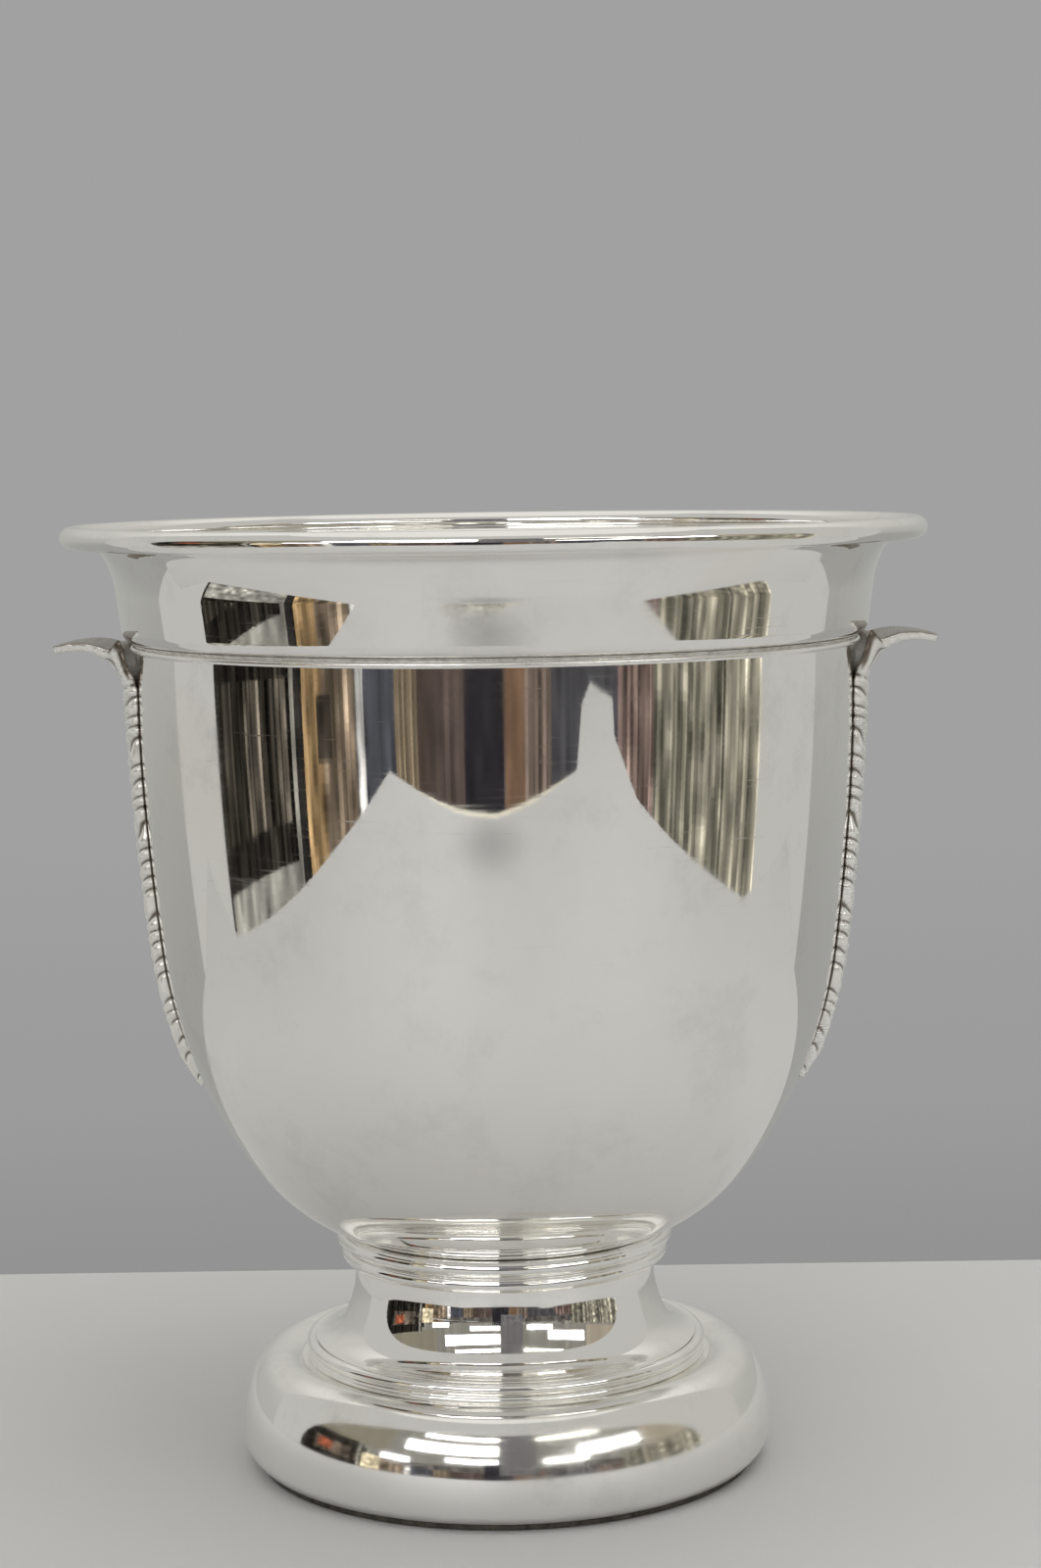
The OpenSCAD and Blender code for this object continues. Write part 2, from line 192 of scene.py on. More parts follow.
SIDE_C = BELLY_C + (BELLY_R - SIDE_R) * np.array([cosd(LEAN_1), -sind(LEAN_1)])


def bowl_wall(inset):
    """The wall from the flat bottom up to the seam, inset mm inside its outer face."""
    return np.vstack([arc(BASE_C, BASE_R - inset, -90, -LEAN_2, 36),
                      arc(BELLY_C, BELLY_R - inset, -LEAN_2, -LEAN_1, 36),
                      arc(SIDE_C, SIDE_R - inset, -LEAN_1, -BOWL_LEAN, 40)])


bowl = turned("bowl_body", joined(
    [[0, BOWL_Z + WALL], [0, BOWL_Z]], bowl_wall(0), [[BOWL_R - WALL, SEAM_Z]], bowl_wall(WALL)[::-1]))
print("bowl stands from", round(BOWL_Z, 2), "to", round(SEAM_Z, 2), "mm, flat radius", round(FLAT_R, 1))

# %% [markdown]
# The neck is a second spinning. A small shoulder rolls out from the seam, the wall leans outwards,
# and the flare tightens into a flat that carries the rim wire. It is drawn with four arcs.

# %% Neck and rim
NECK_OUT, SHOULDER_R = 3.6, 4.0
NECK_LEAN, NECK_H = 6.9, 10.8
FLARE_R, FLARE_LEAN = 30.0, 26.0
LIP_R, LIP_LEAN = 7.0, 84.0
RIM_R = (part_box("rim_wire")[1].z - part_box("rim_wire")[0].z) / 2 / MM
RIM_C = np.array([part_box("rim_wire")[1].y / MM - RIM_R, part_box("rim_wire")[1].z / MM - RIM_R])
SHOULDER_C = np.array([BOWL_R + NECK_OUT - SHOULDER_R, SEAM_Z + SHOULDER_R])
neck_start = SHOULDER_C + SHOULDER_R * np.array([cosd(NECK_LEAN), -sind(NECK_LEAN)])
neck_end = neck_start + NECK_H * np.array([math.tan(math.radians(NECK_LEAN)), 1])
FLARE_C = neck_end + FLARE_R * np.array([cosd(NECK_LEAN), -sind(NECK_LEAN)])
LIP_C = FLARE_C + (LIP_R - FLARE_R) * np.array([cosd(FLARE_LEAN), -sind(FLARE_LEAN)])


def neck_wall(inset):
    """The wall from the seam up to the rim wire, inset mm inside its outer face."""
    lip = arc(LIP_C, LIP_R + inset, 180 - FLARE_LEAN, 180 - LIP_LEAN, 20)
    reach = RIM_C[0] - RIM_R + 0.75 - lip[-1, 0]
    flat = lip[-1] + np.array([[1, 1 / math.tan(math.radians(LIP_LEAN))]]) * reach
    return np.vstack([arc(SHOULDER_C, SHOULDER_R - inset, -90, -NECK_LEAN, 16),
                      arc(FLARE_C, FLARE_R + inset, 180 - NECK_LEAN, 180 - FLARE_LEAN, 24), lip, flat])


neck = turned("neck_flare", joined([[BOWL_R - WALL, SEAM_Z]], neck_wall(0), neck_wall(WALL)[::-1],
                                   [[BOWL_R - WALL, SEAM_Z + WALL]]))
rim = turned("rim_roll", joined(arc(RIM_C, RIM_R, -180, 180, 40)))
print("rim wire", round(2 * RIM_R, 2), "mm thick, centre at", RIM_C.round(2).tolist())

# %% [markdown]
# A thin half-round wire is soldered just under the seam. It hides the joint and gives the bright
# double line under the neck. A little solder fills the corner above it.

# %% Seam wire and solder
SEAM_WIRE_R = 0.85
SEAM_WIRE_Z = SEAM_Z - 1.7
SOLDER_GAP = 0.1
wire_c = np.array([BOWL_R + SEAM_WIRE_R / 3, SEAM_WIRE_Z])
wire_cut = math.degrees(math.acos((BOWL_R + SOLDER_GAP / 2 - wire_c[0]) / SEAM_WIRE_R))
seam = turned("seam_bead", joined(arc(wire_c, SEAM_WIRE_R, -wire_cut, wire_cut, 16)))
solder = turned("seam_solder", joined(
    [[BOWL_R - 0.05, SEAM_Z - 0.75]], [[BOWL_R + 0.06, SEAM_Z - 0.75]],
    arc((BOWL_R + 1.0, SEAM_Z - 0.9), 0.9, 175, 95, 6), [[BOWL_R + 0.9, SEAM_Z + 0.05]],
    [[BOWL_R - 0.05, SEAM_Z + 0.02]]))

# %% [markdown]
# The pedestal is a stack: a cushion foot, a reeded ring, a waisted stem and a beaded ring under
# the bowl. The foot's section is one long arc that meets the tight arc of its crest on a tangent.

# %% Foot and base wire
SHEET = 1.2
FOOT_R, WIDE_Z = 78.5, 10.0
CREST = np.array([66.2, 33.2])
CREST_R = 8.5
FLANGE_Z = CREST[1] - 2.2
FLANGE_R = 51.0
BASE_WIRE_H, BASE_WIRE_W, BASE_WIRE_IN = 1.4, 1.4, 0.3
CREST_C = CREST - [0, CREST_R]
rise, reach_out = CREST_C[1] - WIDE_Z, FOOT_R - CREST_C[0]
FOOT_ARC_R = (reach_out**2 + rise**2 - CREST_R**2) / (2 * (reach_out - CREST_R))
FOOT_C = np.array([FOOT_R - FOOT_ARC_R, WIDE_Z])
TUCK_C = np.array([FOOT_R - WIDE_Z, WIDE_Z])
join_a = math.degrees(math.atan2(rise, CREST_C[0] - FOOT_C[0]))


def foot_wall(inset):
    """The foot's wall from its edge over the crest to the flange, inset mm inside its outer face."""
    edge_a = math.degrees(math.asin((WIDE_Z - BASE_WIRE_H) / (WIDE_Z - inset)))
    flange_a = 180 - math.degrees(math.asin((FLANGE_Z - inset - CREST_C[1]) / (CREST_R - inset)))
    return np.vstack([arc(TUCK_C, WIDE_Z - inset, -edge_a, 0, 16),
                      arc(FOOT_C, FOOT_ARC_R - inset, 0, join_a, 40),
                      arc(CREST_C, CREST_R - inset, join_a, flange_a, 28),
                      [[FLANGE_R, FLANGE_Z - inset]]])


foot = turned("foot_cushion", joined(foot_wall(0), foot_wall(SHEET)[::-1]))
wire_out = foot_wall(0)[0, 0] - BASE_WIRE_IN
wire_in = wire_out - BASE_WIRE_W
base_wire = turned("foot_wire", joined([[wire_in, BASE_WIRE_H], [wire_in, 0], [wire_out - 0.2, 0],
                                        [wire_out, 0.2], [wire_out, BASE_WIRE_H]]))

# %% Lower ring: a reed and a half-round bead under the cove
LOWER_H, COVE_END_R, SEAT_W = 4.8, 56.2, 2.0
REED_R, REED_OUT, LIP_BEAD_R = 1.2, 2.8, 1.8
SLIDE = 0.1
LOWER_Z = FLANGE_Z + LOWER_H
RING_R = COVE_END_R + REED_OUT - REED_R
bead_c = np.array([RING_R - LIP_BEAD_R / 4, FLANGE_Z + 2 * REED_R + LIP_BEAD_R - SLIDE])
reed_c = np.array([RING_R, FLANGE_Z + REED_R])
inner_a = 180 - math.degrees(math.acos((bead_c[0] - COVE_END_R - SLIDE) / LIP_BEAD_R))
lower_ring = turned("lower_reeds", joined(
    [[COVE_END_R - SEAT_W, FLANGE_Z]], arc(reed_c, REED_R, -90, 62, 18),
    arc(bead_c, LIP_BEAD_R, -38, inner_a, 24),
    [[COVE_END_R + SLIDE, LOWER_Z], [COVE_END_R - SEAT_W, LOWER_Z]]))
print("lower ring reaches", round(RING_R + REED_R, 2), "mm at", round(reed_c[1], 2))

# %% Stem and upper ring
WAIST_R, WAIST_H, SPIGOT_H = 44.0, 0.4, 4.0
COVE_R, COVE_LEAN, COVE_END_A = 39.0, 25.5, 88.0
COVE_END_Z = LOWER_Z + SHEET
cove_turn_r = WAIST_R + COVE_R * (1 - cosd(COVE_LEAN))
LOW_R = (COVE_END_R - cove_turn_r) / (cosd(COVE_LEAN) - cosd(COVE_END_A))
LOW_C = np.array([cove_turn_r + LOW_R * cosd(COVE_LEAN), COVE_END_Z + LOW_R * sind(COVE_END_A)])
COVE_C = LOW_C + (COVE_R - LOW_R) * np.array([cosd(COVE_LEAN), sind(COVE_LEAN)])
STEM_TOP = COVE_C[1] + WAIST_H
SPIGOT_R = WAIST_R - SHEET / 2
inner_end_a = math.degrees(math.asin((LOW_C[1] - LOWER_Z) / (LOW_R + SHEET)))
stem = turned("stem_waist", joined(
    [[COVE_END_R, LOWER_Z]], arc(LOW_C, LOW_R, 180 + COVE_END_A, 180 + COVE_LEAN, 24),
    arc(COVE_C, COVE_R, 180 + COVE_LEAN, 180, 24),
    [[WAIST_R, STEM_TOP], [SPIGOT_R, STEM_TOP], [SPIGOT_R, STEM_TOP + SPIGOT_H],
     [WAIST_R - SHEET, STEM_TOP + SPIGOT_H]],
    arc(COVE_C, COVE_R + SHEET, 180, 180 + COVE_LEAN, 24),
    arc(LOW_C, LOW_R + SHEET, 180 + COVE_LEAN, 180 + inner_end_a, 24)))
BEAD_R, BEAD_H, BEAD_OUT, BAND_T = 2.4, 7.3, 4.4, 1.7
band_in = SPIGOT_R + SLIDE
band_out = band_in + BAND_T
ring_bead_c = np.array([band_out + BEAD_OUT - BEAD_R, STEM_TOP + BEAD_H])
LOW_BEAD_OUT = 2.9
low_bead_c = np.array([band_out + LOW_BEAD_OUT - BEAD_R, STEM_TOP + BEAD_R])
top_a = 180 - math.degrees(math.acos(min(1.0, (ring_bead_c[0] - band_out) / BEAD_R)))
upper_ring = turned("upper_bead", joined(
    [[band_in, STEM_TOP]], arc(low_bead_c, BEAD_R, -90, 62, 28),
    arc(ring_bead_c, BEAD_R, -95, top_a, 40), [[band_in, STEM_TOP + BEAD_H]]))
print("upper bead at", ring_bead_c.round(2).tolist())

# %% [markdown]
# Each handle is one casting: a long lobed leaf that lies on the bowl and rolls outwards into a lip
# for the fingers. It is a sheet over two parameters, across (-1 to 1) and along. Along the bowl its
# back follows the bowl's own arcs; past the bend it follows a quarter turn and a slight droop.
# Chevron veins run from the midrib up to each notch, so the edge and the veins share one phase.

# %% Leaf: its path
LEAF_T, LEAF_MID_W, LEAF_ROOT_W, LEAF_TIP_W = 4.0, 13.0, 23.0, 1.5
LEAF_TIP_Z = BOWL_Z + 46.5
LEAF_LOBES, LOBE_DEPTH = 24, 2.1
LEAF_SWELL = 0.35
GRIP_BEND_R, GRIP_DROP, GRIP_REACH = 11.0, -0.2, 23.4
BACK_R = GRIP_BEND_R + LEAF_T
BEND_Z = SEAM_Z - GRIP_DROP - BACK_R
DROOP_R = 2 * BACK_R


def bowl_radius(z):
    """Outer radius of the bowl at height z, from the circle of the arc that z falls on."""
    side = SIDE_C[0] + np.sqrt(SIDE_R**2 - (SIDE_C[1] - z)**2)
    belly = BELLY_C[0] + np.sqrt(np.maximum(BELLY_R**2 - (BELLY_C[1] - z)**2, 0))
    return np.where(z > SIDE_C[1] - SIDE_R * sind(LEAN_1), side, belly)


def wall_lean(z):
    """Lean of the bowl's wall from upright at height z, in degrees."""
    side = np.arcsin((SIDE_C[1] - z) / SIDE_R)
    belly = np.arcsin(np.clip((BELLY_C[1] - z) / BELLY_R, -1, 1))
    return np.degrees(np.where(z > SIDE_C[1] - SIDE_R * sind(LEAN_1), side, belly))


BEND_C = np.array([float(bowl_radius(BEND_Z)) + SOLDER_GAP + BACK_R, BEND_Z])
DROOP_A = math.degrees(math.asin((BOWL_R + GRIP_REACH - BEND_C[0]) / DROOP_R))
print("leaf from", round(LEAF_TIP_Z, 1), "mm up to the bend at", round(BEND_Z, 1))

# %% Leaf: its surface
LEAF_COLUMNS = 60
STEPS_PER_LOBE = 12
MARGIN_FLOOR = 0.22
BEND_STEPS, DROOP_STEPS = 60, 24
SLANT = 1.1
ROOT_END = 60
UNEVEN = [(0.26, 5.3), (0.16, 9.7)]
CURL_H, CURL_AT, CURL_SPREAD = 5.0, 47.0, 9.0


def leaf_surface():
    """Front and back of the leaf as two grids (station, column, xyz) in mm.

    back(s, t) is the path point turned by s w / r about the axis; front adds the thickness along
    the direction the face looks in. Thickness is an arch across s, times a ridge for each lobe,
    |sin(pi (count - slant |s|))|, plus a midrib. count grows by one a lobe, with two slow sines on
    top, so that lobes differ in length. The margin rounds off as sqrt(1 - |s|^7). The half width
    loses LOBE_DEPTH at each notch. The third grid says how deep in a crease a point is, from 0 to 1.
    """
    q = np.linspace(0, 1, LEAF_LOBES * STEPS_PER_LOBE + 1)
    z = LEAF_TIP_Z + q * (BEND_Z - LEAF_TIP_Z)
    bend = np.linspace(0, 90, BEND_STEPS + 1)[1:]
    droop = 90 + np.linspace(0, DROOP_A, DROOP_STEPS + 1)[1:]
    g = np.concatenate([np.zeros(len(q)), bend, droop])
    on_bowl = np.stack([bowl_radius(z) + SOLDER_GAP, z], axis=1)
    on_bend = BEND_C + BACK_R * np.stack([-np.cos(np.radians(bend)), np.sin(np.radians(bend))], axis=1)
    on_droop = (BEND_C + [0, BACK_R - DROOP_R]
                + DROOP_R * np.stack([-np.cos(np.radians(droop)), np.sin(np.radians(droop))], axis=1))
    path = np.vstack([on_bowl, on_bend, on_droop])
    look = np.radians(np.concatenate([-wall_lean(z), -bend, -droop]))
    v = g / (90 + DROOP_A)
    swell = LEAF_MID_W * np.sin(np.radians(90 * np.minimum(1, q / LEAF_SWELL)))
    width = np.concatenate([
        LEAF_TIP_W + swell + (LEAF_ROOT_W - LEAF_MID_W - LEAF_TIP_W) * q**5,
        LEAF_ROOT_W * np.sqrt(1 - 0.8 * v[len(q):]**2)])
    thick = np.concatenate([LEAF_T * np.minimum(1, 0.6 + 5 * q), LEAF_T * (1 - 0.35 * v[len(q):]**2)])
    along = np.concatenate([q, 1 + v[len(q):] * 0.34])
    s = np.sin(0.5 * np.pi * np.linspace(-1, 1, LEAF_COLUMNS + 1))[None, :]
    count = LEAF_LOBES * along
    for depth_of, beats in UNEVEN:
        count = count + depth_of * np.sin(2 * np.pi * beats * along)
    beat = np.round(count)
    uneven = 0.5 + 0.5 * np.sin(2.4 * beat + 1.7 * np.sin(beat))
    on_grip = np.clip((g / 30)[:, None], 0, 1)
    phase = count[:, None] - SLANT * np.abs(s)
    lobe = np.abs(np.sin(np.pi * phase))**0.8
    flute = 0.5 + 0.5 * np.cos(7 * np.pi * s)
    relief = (0.2 + 0.16 * uneven[:, None] + 0.3 * np.abs(s)**3) * (1 - lobe)
    ridge = (1 - on_grip) * (1 - relief) \
        + on_grip * (0.86 + 0.14 * flute)
    margin = np.sqrt(np.clip(1 - np.abs(s)**7, 0, 1))
    edge = (1 - 0.16 * s**2) * (MARGIN_FLOOR + (1 - MARGIN_FLOOR) * margin)
    rib = 0.16 * np.exp(-(s / 0.09)**2) - 0.12 * np.exp(-((np.abs(s) - 0.2) / 0.07)**2)
    h = thick[:, None] * np.clip(edge * ridge + rib * (1 - 0.6 * on_grip), 0.12, 1.04)
    notch = np.abs(np.sin(np.pi * (count - SLANT)))**0.7
    depth = LOBE_DEPTH * (0.6 + 0.4 * uneven) * np.minimum(1, 3 * q.max() * along)
    half = width - depth * (1 - notch) * (1 - 0.5 * on_grip[:, 0])
    curl = CURL_H * np.exp(-((g - CURL_AT) / CURL_SPREAD)**2)[:, None] * np.abs(s)**5 * (g > 0)[:, None]
    turn_by = s * (half / path[:, 0])[:, None]

    def placed(r, zz):
        return np.stack([r * np.cos(turn_by), r * np.sin(turn_by), zz + curl], axis=2)

    back = placed(path[:, :1] + 0 * s, path[:, 1:] + 0 * s)
    root = on_grip * (1 - flute) * (g < ROOT_END)[:, None]
    crease = np.clip((1 - lobe) * (1 - on_grip) + 0.9 * root, 0, 1)**2
    front = placed(path[:, :1] + h * np.cos(look)[:, None], path[:, 1:] + h * np.sin(look)[:, None])
    return front, back, crease


def leaf(name, side):
    """The leaf on +X (side 1) or its mirror image on -X (side -1), closed round its edge."""
    front, back, crease = leaf_surface()
    rings = np.concatenate([front, back[:, ::-1]], axis=1)
    stations, around = rings.shape[:2]
    points = rings.reshape(-1, 3) * MM * [side, 1, 1]
    index = np.arange(stations * around).reshape(stations, around)
    nxt = np.roll(index, -1, axis=1)
    skin = np.stack([index[:-1], nxt[:-1], nxt[1:], index[1:]], axis=2).reshape(-1, 4)
    half = around // 2
    j = np.arange(half - 1)
    low = np.stack([index[0, j], index[0, around - 1 - j], index[0, around - 2 - j], index[0, j + 1]], 1)
    high = np.stack([index[-1, j], index[-1, j + 1], index[-1, around - 2 - j],
                     index[-1, around - 1 - j]], 1)
    faces = np.concatenate([skin, low, high])
    if side < 0:
        faces = faces[:, ::-1]
    obj = as_object(name, points, faces.tolist())
    # Painted shade: the creases between the lobes, and the whole back where the leaf lies on the bowl, are
    # marked here to be painted dark.
    painted_crease_shade = obj.data.attributes.new("painted_crease_shade", "FLOAT", "POINT")
    dark = np.concatenate([crease, np.ones_like(crease)], axis=1)
    painted_crease_shade.data.foreach_set("value", dark.astype(np.float32).ravel())
    return obj


leaf_right = leaf("leaf_right", 1)
leaf_left = leaf("leaf_left", -1)

# %% [markdown]
# Every piece rides on the one rigid body, and the imported solid it stands for is hidden. The stud, the
# clamp plate, the washer and the nut keep their imported solids, because their shapes are right.

# %% Ride and replace
STANDS_FOR = [
    (bowl, "bowl", "silver_spun"), (neck, "neck", "silver_spun"), (rim, "rim_wire", "silver_wire"),
    (seam, "seam_wire", "silver_wire"), (foot, "foot", "silver_spun"),
    (base_wire, "base_wire", "silver_wire"), (lower_ring, "lower_ring", "silver_wire"),
    (stem, "stem", "silver_spun"), (upper_ring, "upper_ring", "silver_wire"),
    (leaf_right, "handle_right", "silver_cast"), (leaf_left, "handle_left", "silver_cast")]
for piece, node, slot in STANDS_FOR:
    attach(piece, "root")
    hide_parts(node)
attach(solder, "root")
print(len(STANDS_FOR) + 1, "pieces ride on the root body")

# %% [markdown]
# Polished silver has almost no colour of its own: it is a mirror with a faint warm tint, fine wiping
# marks and slow waves left by spinning. The tint, the roughness and the bump each come from noise
# on Object coordinates, so the marks stay on the metal when the view moves.

# %% Silver
def node_of(tree, kind, **settings):
    """A new node in tree with its properties and its inputs set by name."""
    node = tree.nodes.new(kind)
    for key, value in settings.items():
        if key in node.inputs:
            node.inputs[key].default_value = value
        else:
            setattr(node, key, value)
    return node


def noise_on(tree, coords, stretch, scale, detail=3.0, rough=0.55, turn=(0, 0, 0)):
    """Fractal noise on coords, turned by three angles and stretched by three factors."""
    mapping = node_of(tree, "ShaderNodeMapping", Scale=stretch, Rotation=turn)
    tree.links.new(coords, mapping.inputs["Vector"])
    noise = node_of(tree, "ShaderNodeTexNoise", Scale=scale, Detail=detail, Roughness=rough)
    tree.links.new(mapping.outputs[0], noise.inputs["Vector"])
    return noise.outputs["Fac"]


def ranged(tree, value, low, high, to_low, to_high):
    """value carried from the range low..high to to_low..to_high, held at both ends."""
    node = node_of(tree, "ShaderNodeMapRange", interpolation_type="SMOOTHSTEP")
    for slot_name, number in zip(("From Min", "From Max", "To Min", "To Max"), (low, high, to_low, to_high)):
        node.inputs[slot_name].default_value = number
    tree.links.new(value, node.inputs["Value"])
    return node.outputs[0]


def sum_of(tree, first, second):
    node = node_of(tree, "ShaderNodeMath", operation="ADD")
    tree.links.new(first, node.inputs[0])
    tree.links.new(second, node.inputs[1])
    return node.outputs[0]


SMUDGE = 1.4
DULLED = 0.84


def silver(name, tint, warm, gloss, haze, wave):
    """Polished silver: tint and warm are its two tones, gloss its clean roughness, haze how much
    wiping marks add to it, and wave the depth in metres of the slow waves in its surface."""
    material = bpy.data.materials.new(name)
    material.use_nodes = True
    tree = material.node_tree
    shader = tree.nodes["Principled BSDF"]
    shader.inputs["Metallic"].default_value = 1.0
    coords = node_of(tree, "ShaderNodeTexCoord").outputs["Object"]
    patches = noise_on(tree, coords, (1, 1, 1), 18.0, 4.0)
    wipes = noise_on(tree, coords, (60, 60, 900), 1.0, 4.0, 0.65)
    fine = noise_on(tree, coords, (1, 1, 1), 900.0, 2.0)
    tone = node_of(tree, "ShaderNodeMix", data_type="RGBA")
    tone.inputs["A"].default_value = (*tint, 1)
    tone.inputs["B"].default_value = (*warm, 1)
    tree.links.new(ranged(tree, patches, 0.42, 0.72, 0.0, 1.0), tone.inputs["Factor"])
    marks = ranged(tree, wipes, 0.45, 0.8, 0.0, haze)
    smears = ranged(tree, patches, 0.35, 0.75, gloss, gloss + haze)
    scuffs = noise_on(tree, coords, (1, 1, 1), 34.0, 7.0, 0.72)
    breath = ranged(tree, scuffs, 0.56, 0.7, 0.0, haze * SMUDGE)
    hairs = noise_on(tree, coords, (30, 30, 900), 1.0, 3.0, 0.6, turn=(0.2, 0.35, 0.0))
    lines = ranged(tree, hairs, 0.665, 0.72, 0.0, 1.0)
    dull = node_of(tree, "ShaderNodeMix", data_type="RGBA")
    dull.inputs["B"].default_value = (*[DULLED * c for c in tint], 1)
    tree.links.new(tone.outputs["Result"], dull.inputs["A"])
    dulling = sum_of(tree, ranged(tree, scuffs, 0.5, 0.68, 0.0, 0.5), ranged(tree, lines, 0, 1, 0, 0.2))
    tree.links.new(dulling, dull.inputs["Factor"])
    tree.links.new(dull.outputs["Result"], shader.inputs["Base Color"])
    hazy = sum_of(tree, sum_of(tree, marks, smears), breath)
    tree.links.new(sum_of(tree, hazy, ranged(tree, lines, 0, 1, 0, 0.12)), shader.inputs["Roughness"])
    slow = noise_on(tree, coords, (1, 1, 1), 22.0, 1.0)
    waves = node_of(tree, "ShaderNodeBump", Strength=1.0, Distance=wave)
    tree.links.new(slow, waves.inputs["Height"])
    grain = node_of(tree, "ShaderNodeBump", Strength=0.5, Distance=0.000002)
    tree.links.new(fine, grain.inputs["Height"])
    tree.links.new(waves.outputs[0], grain.inputs["Normal"])
    tree.links.new(grain.outputs[0], shader.inputs["Normal"])
    return material


SILVER, SILVER_WARM = (0.94, 0.93, 0.91), (0.92, 0.905, 0.865)
spun = silver("silver_spun_polished", SILVER, SILVER_WARM, 0.02, 0.05, 0.00006)
hazy_foot = silver("silver_foot_hazy", SILVER, SILVER_WARM, 0.06, 0.07, 0.00008)
drawn = silver("silver_wire_polished", SILVER, SILVER_WARM, 0.04, 0.06, 0.00002)
cast = silver("silver_cast_polished", (0.96, 0.955, 0.93), (0.94, 0.93, 0.88), 0.24, 0.10, 0.00004)
# Painted shade: the cast leaf is painted dark brown where its crease attribute is high, in the folds between
# lobes and on its back.
PAINTED_CREASE_SHADE = (0.10, 0.07, 0.045)
tree = cast.node_tree
shader = tree.nodes["Principled BSDF"]
shader.inputs["Metallic"].default_value = 0.7
clean = shader.inputs["Base Color"].links[0].from_socket
depth = node_of(tree, "ShaderNodeAttribute", attribute_name="painted_crease_shade").outputs["Fac"]
painted_shade_mix = node_of(tree, "ShaderNodeMix", data_type="RGBA")
painted_shade_mix.inputs["B"].default_value = (*PAINTED_CREASE_SHADE, 1)
tree.links.new(clean, painted_shade_mix.inputs["A"])
tree.links.new(ranged(tree, depth, 0.2, 0.8, 0.0, 0.9), painted_shade_mix.inputs["Factor"])
tree.links.new(painted_shade_mix.outputs["Result"], shader.inputs["Base Color"])
soft_wire = silver("silver_seam_soft", SILVER, SILVER_WARM, 0.22, 0.10, 0.00002)
OWN_SILVER = {foot.name: hazy_foot, seam.name: soft_wire}
SILVERS = {"silver_spun": spun, "silver_wire": drawn, "silver_cast": cast}
for piece, node, slot in STANDS_FOR:
    piece.data.materials.append(OWN_SILVER.get(piece.name, SILVERS[slot]))
print("silver on", len(STANDS_FOR), "pieces")

# %% Solder and brass
def matt_metal(name, tint, dark, rough, grain_scale, metallic=1.0):
    """Unpolished metal: two tones mixed by noise, with a rough, slightly pitted surface."""
    material = bpy.data.materials.new(name)
    material.use_nodes = True
    tree = material.node_tree
    shader = tree.nodes["Principled BSDF"]
    shader.inputs["Metallic"].default_value = metallic
    coords = node_of(tree, "ShaderNodeTexCoord").outputs["Object"]
    mottle = noise_on(tree, coords, (1, 1, 1), grain_scale, 5.0, 0.7)
    tone = node_of(tree, "ShaderNodeMix", data_type="RGBA")
    tone.inputs["A"].default_value = (*tint, 1)
    tone.inputs["B"].default_value = (*dark, 1)
    tree.links.new(ranged(tree, mottle, 0.35, 0.7, 0.0, 1.0), tone.inputs["Factor"])
    tree.links.new(tone.outputs["Result"], shader.inputs["Base Color"])
    tree.links.new(ranged(tree, mottle, 0.3, 0.7, rough, rough + 0.2), shader.inputs["Roughness"])
    bump = node_of(tree, "ShaderNodeBump", Strength=0.4, Distance=0.0001)
    tree.links.new(mottle, bump.inputs["Height"])
    tree.links.new(bump.outputs[0], shader.inputs["Normal"])
    return material


solder.data.materials.append(
    matt_metal("solder_pale_residue", (0.84, 0.83, 0.80), (0.58, 0.56, 0.52), 0.5, 400.0, 0.3))
# Painted shadow: the base wire is given a near-black colour so that it reads as the contact shadow under the
# foot's edge.
base_wire.data.materials.clear()
base_wire.data.materials.append(
    matt_metal("painted_contact_shadow_edge", (0.13, 0.12, 0.10), (0.06, 0.055, 0.05), 0.45, 300.0))
brass = matt_metal("brass_turned", (0.72, 0.56, 0.28), (0.50, 0.36, 0.16), 0.3, 250.0)
for hidden in ("tie_stud", "clamp_plate", "washer", "nut"):
    frame["nodes"][hidden].data.materials.clear()
    frame["nodes"][hidden].data.materials.append(brass)
print("brass on the fastening")

# %% [markdown]
# A mirror shows its surroundings more than itself, so they are built with care. The bucket stands
# on a pale sheet whose front edge lies near the camera. Round it is a pale fabric tent, open in
# front, and through that arch the silver sees a room: dim furniture low down, and a grey ceiling
# with lamps above. The room is a curved screen of small cells with a colour each, which only
# reflections see. The camera itself sees a plain grey backdrop.

# %% Table
def grey(level):
    """The light value of a display level from 0 to 255."""
    c = np.asarray(level, dtype=float) / 255
    return np.where(c <= 0.04045, c / 12.92, ((c + 0.055) / 1.055)**2.4)


TABLE_EDGE = np.array([
    (0.95, 0.215), (-0.90, 0.215), (-0.64, 0.0), (-0.64, -1.03), (-0.50, -1.01), (-0.20, -0.94),
    (0.0, -0.93), (0.20, -0.99), (0.49, -1.10), (0.80, -1.66), (1.06, -1.95), (1.12, -1.58),
    (0.86, -1.20), (0.70, -0.76), (0.70, -0.10)])
corners = np.column_stack([TABLE_EDGE, np.full(len(TABLE_EDGE), -0.0002)])
table = as_object("table_top", corners, [list(range(len(corners)))])
